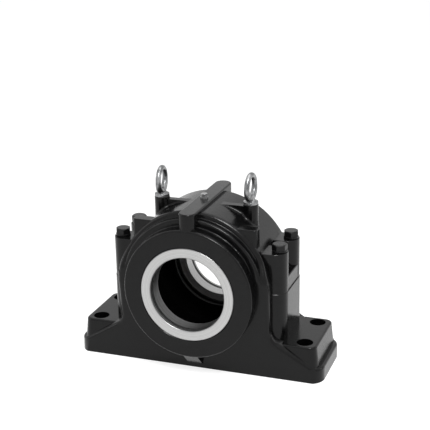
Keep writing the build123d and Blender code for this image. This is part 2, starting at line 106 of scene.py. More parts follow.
class Graph:
    """Short-hand for filling a node tree."""

    def __init__(self, tree: bpy.types.NodeTree) -> None:
        """Wraps a tree.

        Args:
            tree: The shader or geometry tree to fill.
        """
        self.tree = tree

    def add(self, kind: str, settings: dict[str, object] | None = None, *values: object,
            **inputs: object) -> bpy.types.Node:
        """Adds a node, sets its mode and fills its inputs.

        Args:
            kind: The node's type name.
            settings: The node's own properties, which decide what inputs it has.
            *values: What the first inputs get, in their order.
            **inputs: Input names, with spaces as underscores, and what they get.

        Returns:
            The new node.
        """
        node = self.tree.nodes.new(kind)
        for key, value in (settings or {}).items():
            setattr(node, key, value)
        for index, value in enumerate(values):
            self.put(node, index, value)
        for name, value in inputs.items():
            self.put(node, name.replace("_", " "), value)
        return node

    def put(self, node: bpy.types.Node, name: str | int, value: object) -> None:
        """Sets one input to a value, or links it.

        Args:
            node: The node that has the input.
            name: The input's name or index.
            value: A number, vector, colour or output socket, or a node for its first output.
        """
        socket = node.inputs[name]
        if isinstance(value, bpy.types.Node):
            value = value.outputs[0]
        if isinstance(value, bpy.types.NodeSocket):
            self.tree.links.new(value, socket)
        else:
            socket.default_value = value

    def math(self, operation: str, *values: object) -> bpy.types.NodeSocket:
        """Adds a Math node.

        Args:
            operation: The operation's name.
            *values: Up to three numbers, output sockets or nodes.

        Returns:
            The result's socket.
        """
        return self.add("ShaderNodeMath", {"operation": operation}, *values).outputs[0]

    def ramp(self, value: bpy.types.NodeSocket, low: float, high: float,
             to_low: float, to_high: float) -> bpy.types.NodeSocket:
        """Maps a range of a value smoothly to another range.

        Args:
            value: The socket to map.
            low: Value that becomes to_low.
            high: Value that becomes to_high.
            to_low: Result at low.
            to_high: Result at high.

        Returns:
            The mapped socket.
        """
        node = self.add("ShaderNodeMapRange", {"interpolation_type": "SMOOTHSTEP"},
                        value, low, high, to_low, to_high)
        return node.outputs[0]


def new_group(name: str, kind: str, inputs: Sequence[tuple[str, str, object]],
              outputs: Sequence[tuple[str, str]]) -> tuple[bpy.types.NodeTree, Graph]:
    """Makes a node group with named sockets.

    Args:
        name: The group's name.
        kind: ShaderNodeTree or GeometryNodeTree.
        inputs: Name, socket type and default of each input.
        outputs: Name and socket type of each output.

    Returns:
        The tree and a graph that fills it.
    """
    tree = bpy.data.node_groups.new(name, kind)
    for label, socket_type, default in inputs:
        item = tree.interface.new_socket(label, in_out="INPUT", socket_type=socket_type)
        if default is not None:
            item.default_value = default
    for label, socket_type in outputs:
        tree.interface.new_socket(label, in_out="OUTPUT", socket_type=socket_type)
    return tree, Graph(tree)


def numbers(*names: str) -> list[tuple[str, str, object]]:
    """Lists number inputs by name, all of which the caller then sets."""
    return [(name, "NodeSocketFloat", 0.01) for name in names]


# ---------------------------------------------------------------- shared surface effects


class SurfaceEffects:
    """Shader node groups that more than one finish uses."""

    def __init__(self) -> None:
        """Builds each group once."""
        self.skin = self._skin()
        self.turning = self._turning()

    @staticmethod
    def _skin() -> bpy.types.NodeTree:
        """Builds the uneven skin of painted or plated metal.

        Returns:
            A group that puts out a height in metres and a slow and a fine mask.
        """
        tree, graph = new_group(
            "uneven_skin", "ShaderNodeTree",
            numbers("Peel Size", "Wave Size", "Peel Depth", "Wave Depth"),
            [(name, "NodeSocketFloat") for name in ("Height", "Slow", "Fine")],
        )
        given = graph.add("NodeGroupInput")
        place = graph.add("ShaderNodeTexCoord").outputs["Object"]
        peel_scale = graph.math("DIVIDE", 1.0, given.outputs["Peel Size"])
        wave_scale = graph.math("DIVIDE", 1.0, given.outputs["Wave Size"])
        fine = graph.add("ShaderNodeTexNoise", Vector=place, Scale=peel_scale, Detail=2.0)
        slow = graph.add("ShaderNodeTexNoise", Vector=place, Scale=wave_scale, Detail=3.0)
        peel = graph.math("MULTIPLY", fine, given.outputs["Peel Depth"])
        wave = graph.math("MULTIPLY", slow, given.outputs["Wave Depth"])
        graph.add("NodeGroupOutput", Height=graph.math("ADD", peel, wave),
                  Slow=slow, Fine=fine)
        return tree

    @staticmethod
    def _turning() -> bpy.types.NodeTree:
        """Builds the fine rings that a lathe tool leaves round the Y axis.

        Returns:
            A group that puts out a height in metres, a mask across the rings and the radius.
        """
        tree, graph = new_group(
            "turning_marks", "ShaderNodeTree",
            numbers("Axis Height", "Pitch", "Depth"),
            [(name, "NodeSocketFloat") for name in ("Height", "Mask", "Radius")],
        )
        given = graph.add("NodeGroupInput")
        place = graph.add("ShaderNodeTexCoord").outputs["Object"]
        parts = graph.add("ShaderNodeSeparateXYZ", Vector=place)
        up = graph.math("SUBTRACT", parts.outputs["Z"], given.outputs["Axis Height"])
        radius = graph.math("SQRT", graph.math(
            "ADD", graph.math("MULTIPLY", parts.outputs["X"], parts.outputs["X"]),
            graph.math("MULTIPLY", up, up)))
        track = graph.math("ADD", radius, parts.outputs["Y"])
        turns = graph.math("DIVIDE", track, given.outputs["Pitch"])
        mark = graph.add("ShaderNodeTexNoise", {"noise_dimensions": "1D"}, W=turns, Scale=1.0,
                         Detail=2.0)
        height = graph.math("MULTIPLY", mark, given.outputs["Depth"])
        graph.add("NodeGroupOutput", Height=height, Mask=mark, Radius=radius)
        return tree


# ---------------------------------------------------------------- finishes


def principled(name: str) -> tuple[bpy.types.Material, Graph, bpy.types.Node]:
    """Makes a material that holds a Principled BSDF.

    Args:
        name: The material's name.

    Returns:
        The material, its graph and the Principled node.
    """
    material = bpy.data.materials.new(name)
    material.use_nodes = True
    graph = Graph(material.node_tree)
    return material, graph, material.node_tree.nodes["Principled BSDF"]


def colour_between(graph: Graph, mask: bpy.types.NodeSocket, dark: object,
                   light: object) -> bpy.types.NodeSocket:
    """Mixes two colours by a mask.

    Args:
        graph: The material's graph.
        mask: 0 for dark, 1 for light.
        dark: RGB colour or output socket.
        light: RGB colour or output socket.

    Returns:
        The mixed colour's socket.
    """
    mix = graph.add("ShaderNodeMix", {"data_type": "RGBA"}, mask)
    for index, colour in ((COLOUR_A, dark), (COLOUR_B, light)):
        plain = isinstance(colour, tuple)
        graph.put(mix, index, (*colour, 1.0) if plain else colour)
    return mix.outputs[MIXED_COLOUR]


@dataclass(frozen=True)
class Coat:
    """Paint, plating or rubber with an uneven skin, mottled in colour and roughness."""

    name: str
    dark: Colour
    light: Colour
    roughness: tuple[float, float]
    peel_size: float
    peel_depth: float
    wave_size: float
    wave_depth: float
    ior: float = 1.5
    metallic: float = 0.0

    def material(self, effects: SurfaceEffects) -> bpy.types.Material:
        """Builds the coat.

        Args:
            effects: The shared groups.

        Returns:
            The material.
        """
        made, graph, shader = principled(self.name)
        skin = graph.add("ShaderNodeGroup", {"node_tree": effects.skin},
                         Peel_Size=self.peel_size, Peel_Depth=self.peel_depth,
                         Wave_Size=self.wave_size, Wave_Depth=self.wave_depth).outputs
        spread = graph.ramp(skin["Slow"], *SLOW_RANGE, 0.0, 1.0)
        graph.put(shader, "Base Color", colour_between(graph, spread, self.dark, self.light))
        graph.put(shader, "Roughness", graph.ramp(skin["Fine"], *FINE_RANGE, *self.roughness))
        bump = graph.add("ShaderNodeBump", Height=skin["Height"], Distance=1.0)
        graph.put(shader, "Normal", bump)
        graph.put(shader, "IOR", self.ior)
        graph.put(shader, "Metallic", self.metallic)
        return made


@dataclass(frozen=True)
class TurnedSteel:
    """Steel left bright from the lathe, with painted shade on its bore and its outer rim."""

    name: str
    dark: Colour
    light: Colour
    roughness: tuple[float, float]
    # Painted shade: the bore and the rim beyond rim_radius take these darker colours instead of the
    # face's.
    painted_shade_bore_dark: Colour
    painted_shade_bore_light: Colour
    pitch: float
    depth: float
    bore_radius: float
    rim_radius: float
    axis_height: float = AXIS_HEIGHT

    def material(self, effects: SurfaceEffects) -> bpy.types.Material:
        """Builds the turned steel.

        Args:
            effects: The shared groups.

        Returns:
            The material.
        """
        made, graph, shader = principled(self.name)
        marks = graph.add("ShaderNodeGroup", {"node_tree": effects.turning},
                          Axis_Height=self.axis_height, Pitch=self.pitch,
                          Depth=self.depth).outputs
        mask = graph.ramp(marks["Mask"], *FINE_RANGE, 0.0, 1.0)
        face = colour_between(graph, mask, self.dark, self.light)
        # Painted shade on the bore and on the rim beyond rim_radius; the face between them keeps
        # the steel's own colour.
        bore = colour_between(graph, mask, self.painted_shade_bore_dark, self.painted_shade_bore_light)
        radius = marks["Radius"]
        face_clear_of_painted_shade = graph.math("MULTIPLY", graph.math("GREATER_THAN", radius, self.bore_radius),
                             graph.math("LESS_THAN", radius, self.rim_radius))
        graph.put(shader, "Base Color", colour_between(graph, face_clear_of_painted_shade, bore, face))
        low, high = self.roughness
        graph.put(shader, "Roughness", graph.ramp(marks["Mask"], *FINE_RANGE, high, low))
        bump = graph.add("ShaderNodeBump", Height=marks["Height"], Distance=1.0)
        graph.put(shader, "Normal", bump)
        graph.put(shader, "Metallic", 1.0)
        return made


BLACK_ENAMEL = Coat(
    name="black_enamel", dark=(0.0016, 0.0016, 0.0017), light=(0.0032, 0.0032, 0.0033),
    roughness=(0.14, 0.27), ior=1.3, peel_size=2.2 * MM, peel_depth=0.035 * MM,
    wave_size=10 * MM, wave_depth=0.14 * MM)
BOLT_ENAMEL = Coat(
    name="bolt_enamel", dark=(0.003, 0.003, 0.0032), light=(0.0055, 0.0055, 0.0058),
    roughness=(0.24, 0.36), ior=1.32, peel_size=1.2 * MM, peel_depth=0.01 * MM,
    wave_size=6 * MM, wave_depth=0.03 * MM)
# Both rings carry painted shade on bore and rim: dark on the front ring, lighter on the rear ring's
# copy of the same steel.
RING_STEEL = TurnedSteel(
    name="turned_steel", dark=(0.38, 0.38, 0.378), light=(0.53, 0.53, 0.524),
    roughness=(0.36, 0.5), painted_shade_bore_dark=(0.1, 0.1, 0.1), painted_shade_bore_light=(0.3, 0.3, 0.3),
    pitch=1.2 * MM, depth=0.008 * MM, bore_radius=76.3 * MM, rim_radius=93.15 * MM)
REAR_RING_LIGHTER_PAINTED_SHADE = replace(
    RING_STEEL, name="turned_steel_rear_lighter_painted_shade", painted_shade_bore_dark=(0.24, 0.24, 0.24),
    painted_shade_bore_light=(0.52, 0.52, 0.515))
ZINC_PLATE = Coat(
    name="zinc_plate", dark=(0.15, 0.153, 0.156), light=(0.33, 0.333, 0.336),
    roughness=(0.26, 0.42), peel_size=1.8 * MM, peel_depth=0.02 * MM,
    wave_size=14.4 * MM, wave_depth=0.08 * MM, metallic=1.0)
PLUG_PLATE = Coat(
    name="plug_plate", dark=(0.2, 0.2, 0.205), light=(0.36, 0.36, 0.36),
    roughness=(0.28, 0.42), peel_size=1.2 * MM, peel_depth=0.01 * MM,
    wave_size=9.6 * MM, wave_depth=0.04 * MM, metallic=1.0)
NITRILE_RUBBER = Coat(
    name="nitrile_rubber", dark=(0.01, 0.01, 0.01), light=(0.016, 0.016, 0.016),
    roughness=(0.5, 0.6), peel_size=0.8 * MM, peel_depth=0.01 * MM,
    wave_size=6 * MM, wave_depth=0.02 * MM)


# ---------------------------------------------------------------- mesh helpers


def add_object(name: str, data: bpy.types.ID) -> bpy.types.Object:
    """Adds an object to the scene.

    Args:
        name: The object's name.
        data: Its mesh, light or camera.

    Returns:
        The object.
    """
    made = bpy.data.objects.new(name, data)
    bpy.context.scene.collection.objects.link(made)
    return made


def dress(piece: bpy.types.Object, material: bpy.types.Material) -> None:
    """Gives a piece one material.

    Args:
        piece: The mesh object.
        material: Its finish.
    """
    piece.data.materials.clear()
    piece.data.materials.append(material)


def grow(name: str, tree: bpy.types.NodeTree, sizes: dict[str, object],
         finishers: Sequence[tuple[str, dict[str, object]]] = ()) -> bpy.types.Object:
    """Runs a geometry tree with its inputs set and keeps the plain mesh it makes.

    Args:
        name: The piece's name.
        tree: The Geometry Nodes tree.
        sizes: The tree's named inputs and their values.
        finishers: Further modifiers, each a kind and its settings.

    Returns:
        The piece, at the origin with its place in its mesh and no modifier left on it.
    """
    piece = add_object(name, bpy.data.meshes.new(name + "_seed"))
    modifier = piece.modifiers.new("grow", "NODES")
    modifier.node_group = tree
    for item in tree.interface.items_tree:
        if item.in_out == "INPUT" and item.name in sizes:
            modifier[item.identifier] = sizes[item.name]
    for number, (kind, settings) in enumerate(finishers):
        extra = piece.modifiers.new(f"finish_{number}", kind)
        for key, value in settings.items():
            setattr(extra, key, value)
    bpy.context.view_layer.update()
    graph = bpy.context.evaluated_depsgraph_get()
    mesh = bpy.data.meshes.new_from_object(piece.evaluated_get(graph), depsgraph=graph)
    mesh.name = name
    piece.modifiers.clear()
    piece.data = mesh
    return piece


def close_up(piece: bpy.types.Object, sharp_angle: float) -> None:
    """Joins doubled points, turns every face outwards and sets which edges stay sharp.

    Args:
        piece: The mesh object.
        sharp_angle: Degrees between two faces above which their edge is sharp.
    """
    work = bmesh.new()
    work.from_mesh(piece.data)
    bmesh.ops.remove_doubles(work, verts=work.verts, dist=SAME_POINT)
    bmesh.ops.dissolve_degenerate(work, edges=work.edges, dist=NO_LENGTH)
    bmesh.ops.recalc_face_normals(work, faces=work.faces)
    work.to_mesh(piece.data)
    work.free()
    piece.data.shade_smooth()
    piece.data.set_sharp_from_angle(angle=math.radians(sharp_angle))


def fit(piece: bpy.types.Object, body: Body, slot: Slot, *nodes: str) -> None:
    """Puts a finished piece on its body in place of the CAD nodes it stands for.

    Args:
        piece: The finished piece.
        body: The body it rides on.
        slot: The record's material slot of the piece; not used.
        *nodes: The CAD nodes that it replaces.
    """
    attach(piece, body.value)
    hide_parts(*nodes)
    log.info("%s: %d faces, in place of %s", piece.name, len(piece.data.polygons), ", ".join(nodes))


def middle_of(node: str) -> Vector:
    """Gives the middle of a CAD node's box, in metres."""
    low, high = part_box(node)
    return (low + high) / 2


# ---------------------------------------------------------------- geometry node groups


TURN_INPUTS = tuple(f"Turn {number}" for number in range(1, 5))
PLACE_INPUTS = ("Spacing X", "Spacing Y", "Seat Height", *TURN_INPUTS)
FINISH_INPUT = ("Finish", "NodeSocketMaterial", None)


def corner_places(nodes: Sequence[str], seat: float, turns: Sequence[float],
                  finish: bpy.types.Material) -> dict[str, object]:
    """Gives the inputs that set a fastener at the places of four CAD nodes.

    Args:
        nodes: The CAD nodes, front left first and rear right last.
        seat: Height of the fastener's own zero.
        turns: Degrees that each one is turned by.
        finish: Their finish.

    Returns:
        The inputs by name.
    """
    first, last = middle_of(nodes[0]), middle_of(nodes[-1])
    angles = {label: math.radians(turn) for label, turn in zip(TURN_INPUTS, turns)}
    return {"Spacing X": last.x - first.x, "Spacing Y": last.y - first.y, "Seat Height": seat,
            "Finish": finish, **angles}


class Shapes:
    """Geometry node groups that more than one fastener uses."""

    AROUND = 96

    def __init__(self) -> None:
        """Builds each group once."""
        self.four_places = self._four_places()

    @staticmethod
    def pick(graph: Graph, index: object, values: Sequence[object]) -> bpy.types.NodeSocket:
        """Adds a choice among values by number.

        Args:
            graph: The geometry tree's graph.
            index: Number of the value, from 0, as a socket or node.
            values: Numbers or output sockets.

        Returns:
            The chosen value.
        """
        switch = graph.add("GeometryNodeIndexSwitch", {"data_type": "FLOAT"})
        while len(switch.index_switch_items) < len(values):
            switch.index_switch_items.new()
        for number, value in enumerate((index, *values)):
            graph.put(switch, number, value)
        return switch.outputs[0]

    @classmethod
    def spun(cls, graph: Graph, rows: Sequence[tuple[object, object]]) -> bpy.types.NodeSocket:
        """Adds a closed solid whose rows of points go round the Z axis.

        Args:
            graph: The geometry tree's graph.
            rows: Radius and height of each row, from the middle of the top to that of the base.

        Returns:
            The solid's mesh.
        """
        across = cls.AROUND + 1
        grid = graph.add("GeometryNodeMeshGrid", Vertices_X=len(rows), Vertices_Y=across)
        row = cls.row_number(graph, across)
        angle = cls.angle(graph, across)
        radius, height = (cls.pick(graph, row, values) for values in zip(*rows))
        place = graph.add(
            "ShaderNodeCombineXYZ",
            X=graph.math("MULTIPLY", radius, graph.math("COSINE", angle)),
            Y=graph.math("MULTIPLY", radius, graph.math("SINE", angle)),
            Z=height,
        )
        placed = graph.add("GeometryNodeSetPosition", Geometry=grid.outputs["Mesh"],
                           Position=place)
        merged = graph.add("GeometryNodeMergeByDistance", Geometry=placed,
                           Distance=NO_LENGTH)
        return merged.outputs[0]

    @staticmethod
    def row_number(graph: Graph, across: int) -> bpy.types.NodeSocket:
        """Adds the row number of each point of a grid that has this many points across."""
        index = graph.add("GeometryNodeInputIndex")
        return graph.math("FLOOR", graph.math("DIVIDE", graph.math("ADD", index, 0.5), across))

    @classmethod
    def angle(cls, graph: Graph, across: int) -> bpy.types.NodeSocket:
        """Adds the angle at which each point of the grid stands.

        Args:
            graph: The geometry tree's graph.
            across: Points across the grid.

        Returns:
            The angle in radians.
        """
        index = graph.add("GeometryNodeInputIndex")
        row = cls.row_number(graph, across)
        column = graph.math("SUBTRACT", index, graph.math("MULTIPLY", row, across))
        return graph.math("MULTIPLY", column, 2 * math.pi / cls.AROUND)

    @classmethod
    def hexagon(cls, graph: Graph, across_flats: bpy.types.NodeSocket,
                corner: bpy.types.NodeSocket) -> bpy.types.NodeSocket:
        """Adds the radius of a hexagon with slightly broken corners.

        Args:
            graph: The geometry tree's graph.
            across_flats: Size across the flats.
            corner: How much is taken off each corner.

        Returns:
            The radius at each point's angle.
        """
        sixth = math.pi / 3
        angle = graph.math("ADD", cls.angle(graph, cls.AROUND + 1), sixth / 2)
        wedge = graph.math("SUBTRACT", graph.math("FLOORED_MODULO", angle, sixth), sixth / 2)
        apothem = graph.math("DIVIDE", across_flats, 2.0)
        facet = graph.math("DIVIDE", apothem, graph.math("COSINE", wedge))
        full = graph.math("DIVIDE", apothem, math.cos(sixth / 2))
        return graph.math("MINIMUM", facet, graph.math("SUBTRACT", full, corner))

    def _four_places(self) -> bpy.types.NodeTree:
        """Builds the group that sets a fastener at four corners, each turned by its own angle.

        Returns:
            A group from one fastener to four real ones.
        """
        tree, graph = new_group(
            "four_places", "GeometryNodeTree",
            [("Fastener", "NodeSocketGeometry", None), *numbers(*PLACE_INPUTS)],
            [("Fasteners", "NodeSocketGeometry")],
        )
        given = graph.add("NodeGroupInput")
        grid = graph.add("GeometryNodeMeshGrid", Size_X=given.outputs["Spacing X"],
                         Size_Y=given.outputs["Spacing Y"], Vertices_X=2, Vertices_Y=2)
        lift = graph.add("ShaderNodeCombineXYZ", Z=given.outputs["Seat Height"])
        raised = graph.add("GeometryNodeSetPosition", Geometry=grid.outputs["Mesh"],
                           Offset=lift)
        index = graph.add("GeometryNodeInputIndex")
        angle = self.pick(graph, index, [given.outputs[label] for label in TURN_INPUTS])
        turn = graph.add("ShaderNodeCombineXYZ", Z=angle)
        placed = graph.add("GeometryNodeInstanceOnPoints", Points=raised,
                           Instance=given.outputs["Fastener"], Rotation=turn)
        real = graph.add("GeometryNodeRealizeInstances", Geometry=placed)
        graph.add("NodeGroupOutput", Fasteners=real)
        return tree

    def set_out(self, graph: Graph, given: object, fastener: bpy.types.NodeSocket,
                output: str) -> None:
        """Sets a fastener at its four places, finishes it and puts it out of the tree.

        Args:
            graph: The geometry tree's graph.
            given: The tree's inputs, as sockets by name.
            fastener: One fastener's mesh.
            output: Name of the tree's output.
        """
        four = graph.add("GeometryNodeGroup", {"node_tree": self.four_places}, Fastener=fastener)
        for label in PLACE_INPUTS:
            graph.put(four, label, given[label])
        finished = graph.add("GeometryNodeSetMaterial", Geometry=four,
                             Material=given["Finish"])
        graph.put(graph.add("NodeGroupOutput"), output, finished)


# ---------------------------------------------------------------- fasteners


@dataclass
class CapBolts:
    """The four hexagon head bolts that hold the cap down."""

    across_flats: float = 27 * MM
    head_height: float = 11.5 * MM
    crown_share: float = 0.46
    crown_slope: float = 30.0
    edge_break: float = 0.35 * MM
    corner_break: float = 0.4 * MM
    shank_diameter: float = 18 * MM
    tip_chamfer: float = 1.5 * MM
    sharp_angle: float = 24.0
    turns: tuple[float, ...] = (25.0, 54.0, 54.0, 16.0)
    nodes: tuple[str, ...] = ("cap_bolt_1", "cap_bolt_2", "cap_bolt_3", "cap_bolt_4")

    def tree(self, shapes: Shapes) -> bpy.types.NodeTree:
        """Builds the geometry of one bolt and sets it at the four places.

        Args:
            shapes: The shared geometry groups.

        Returns:
            The tree.
        """
        sizes = numbers("Across Flats", "Head Height", "Crown Radius", "Crown Slope", "Edge Break",
                        "Corner Break", "Shank Radius", "Shank Length", "Tip Chamfer",
                        *PLACE_INPUTS)
        tree, graph = new_group("cap_bolts", "GeometryNodeTree", [*sizes, FINISH_INPUT],
                                [("Bolts", "NodeSocketGeometry")])
        given = graph.add("NodeGroupInput").outputs
        facet = shapes.hexagon(graph, given["Across Flats"], given["Corner Break"])
        inner = graph.math("SUBTRACT", facet, given["Edge Break"])
        slope = given["Crown Slope"]

        def crown(radius: bpy.types.NodeSocket, more: object) -> bpy.types.NodeSocket:
            """Adds the height of the coned top.

            Args:
                radius: Where it is taken.
                more: A further drop.

            Returns:
                The height.
            """
            beyond = graph.math("SUBTRACT", radius, given["Crown Radius"])
            fall = graph.math("MULTIPLY", beyond, slope)
            return graph.math("SUBTRACT", graph.math("SUBTRACT", given["Head Height"], fall), more)

        shank, chamfer = given["Shank Radius"], given["Tip Chamfer"]
        tip = graph.math("SUBTRACT", 0.0, given["Shank Length"])
        bolt = shapes.spun(graph, [
            (0.0, given["Head Height"]),
            (given["Crown Radius"], given["Head Height"]),
            (inner, crown(inner, 0.0)),
            (facet, crown(facet, given["Edge Break"])),
            (facet, given["Edge Break"]),
            (inner, 0.0),
            (shank, 0.0),
            (shank, graph.math("ADD", tip, chamfer)),
            (graph.math("SUBTRACT", shank, chamfer), tip),
            (0.0, tip),
        ])
        shapes.set_out(graph, given, bolt, "Bolts")
        return tree

    def build(self, shapes: Shapes, finish: bpy.types.Material) -> bpy.types.Object:
        """Makes the bolts at the places of the CAD nodes.

        Args:
            shapes: The shared geometry groups.
            finish: The bolts' finish.

        Returns:
            The four bolts as one piece.
        """
        low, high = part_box(self.nodes[0])
        seat = high.z - self.head_height
        piece = grow("cap_bolts", self.tree(shapes), {
            "Across Flats": self.across_flats,
            "Head Height": self.head_height,
            "Crown Radius": self.crown_share * self.across_flats,
            "Crown Slope": math.tan(math.radians(self.crown_slope)),
            "Edge Break": self.edge_break,
            "Corner Break": self.corner_break,
            "Shank Radius": self.shank_diameter / 2,
            "Shank Length": seat - low.z,
            "Tip Chamfer": self.tip_chamfer,
            **corner_places(self.nodes, seat, self.turns, finish),
        })
        close_up(piece, self.sharp_angle)
        fit(piece, Body.HOUSING, Slot.PAINTED_FASTENER, *self.nodes)
        return piece


@dataclass
class SpringWashers:
    """The split spring washers below the heads of the cap bolts."""

    outer_diameter: float = 29.4 * MM
    bore: float = 20 * MM
    gap: float = 14.0
    slant: float = 14.0
    edge_radius: float = 0.5 * MM
    edge_points: int = 3
    sharp_angle: float = 35.0
    turns: tuple[float, ...] = (75.0, 162.0, 162.0, 48.0)
    nodes: tuple[str, ...] = (
        "spring_washer_1", "spring_washer_2", "spring_washer_3", "spring_washer_4")

    def tree(self, shapes: Shapes) -> bpy.types.NodeTree:
        """Builds one washer from a bar swept round an open circle, and sets it at four places.

        Args:
            shapes: The shared geometry groups.

        Returns:
            The tree.
        """
        sizes = numbers("Mean Radius", "Width", "Height", "Gap", "Slant", "Edge Radius",
                        *PLACE_INPUTS)
        tree, graph = new_group("spring_washers", "GeometryNodeTree", [*sizes, FINISH_INPUT],
                                [("Washers", "NodeSocketGeometry")])
        given = graph.add("NodeGroupInput").outputs
        coil = graph.add(
            "GeometryNodeCurveArc", Resolution=Shapes.AROUND, Radius=given["Mean Radius"],
            Start_Angle=graph.math("DIVIDE", given["Gap"], 2.0),
            Sweep_Angle=graph.math("SUBTRACT", 2 * math.pi, given["Gap"]))
        upright = graph.add("GeometryNodeSetCurveNormal", {"mode": "Z_UP"}, Curve=coil)
        bar = graph.add("GeometryNodeCurvePrimitiveQuadrilateral", Width=given["Width"],
                        Height=given["Height"])
        rounded = graph.add("GeometryNodeFilletCurve", {"mode": "POLY"}, Curve=bar,
                            Count=self.edge_points, Radius=given["Edge Radius"])
        swept = graph.add("GeometryNodeCurveToMesh", Curve=upright,
                          Profile_Curve=rounded, Fill_Caps=True)
        place = graph.add("GeometryNodeInputPosition")
        height = graph.add("ShaderNodeSeparateXYZ", Vector=place).outputs["Z"]
        share = graph.math("DIVIDE", height, given["Height"])
        twist = graph.math("MULTIPLY", share, given["Slant"])
        turned = graph.add("ShaderNodeVectorRotate", {"rotation_type": "Z_AXIS"}, Vector=place,
                           Angle=twist)
        slanted = graph.add("GeometryNodeSetPosition", Geometry=swept,
                            Position=turned)
        shapes.set_out(graph, given, slanted.outputs[0], "Washers")
        return tree

    def build(self, shapes: Shapes, bolts: CapBolts,
              finish: bpy.types.Material) -> bpy.types.Object:
        """Makes the washers between the columns and the bolt heads.

        Args:
            shapes: The shared geometry groups.
            bolts: The bolts that press the washers down.
            finish: The washers' finish.

        Returns:
            The four washers as one piece.
        """
        low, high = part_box(self.nodes[0])
        piece = grow("spring_washers", self.tree(shapes), {
            "Mean Radius": (self.outer_diameter + self.bore) / 4,
            "Width": (self.outer_diameter - self.bore) / 2,
            "Height": high.z - low.z,
            "Gap": math.radians(self.gap),
            "Slant": math.radians(self.slant),
            "Edge Radius": self.edge_radius,
            **corner_places(bolts.nodes, (low.z + high.z) / 2, self.turns, finish),
        })
        close_up(piece, self.sharp_angle)
        fit(piece, Body.HOUSING, Slot.PAINTED_FASTENER, *self.nodes)
        return piece


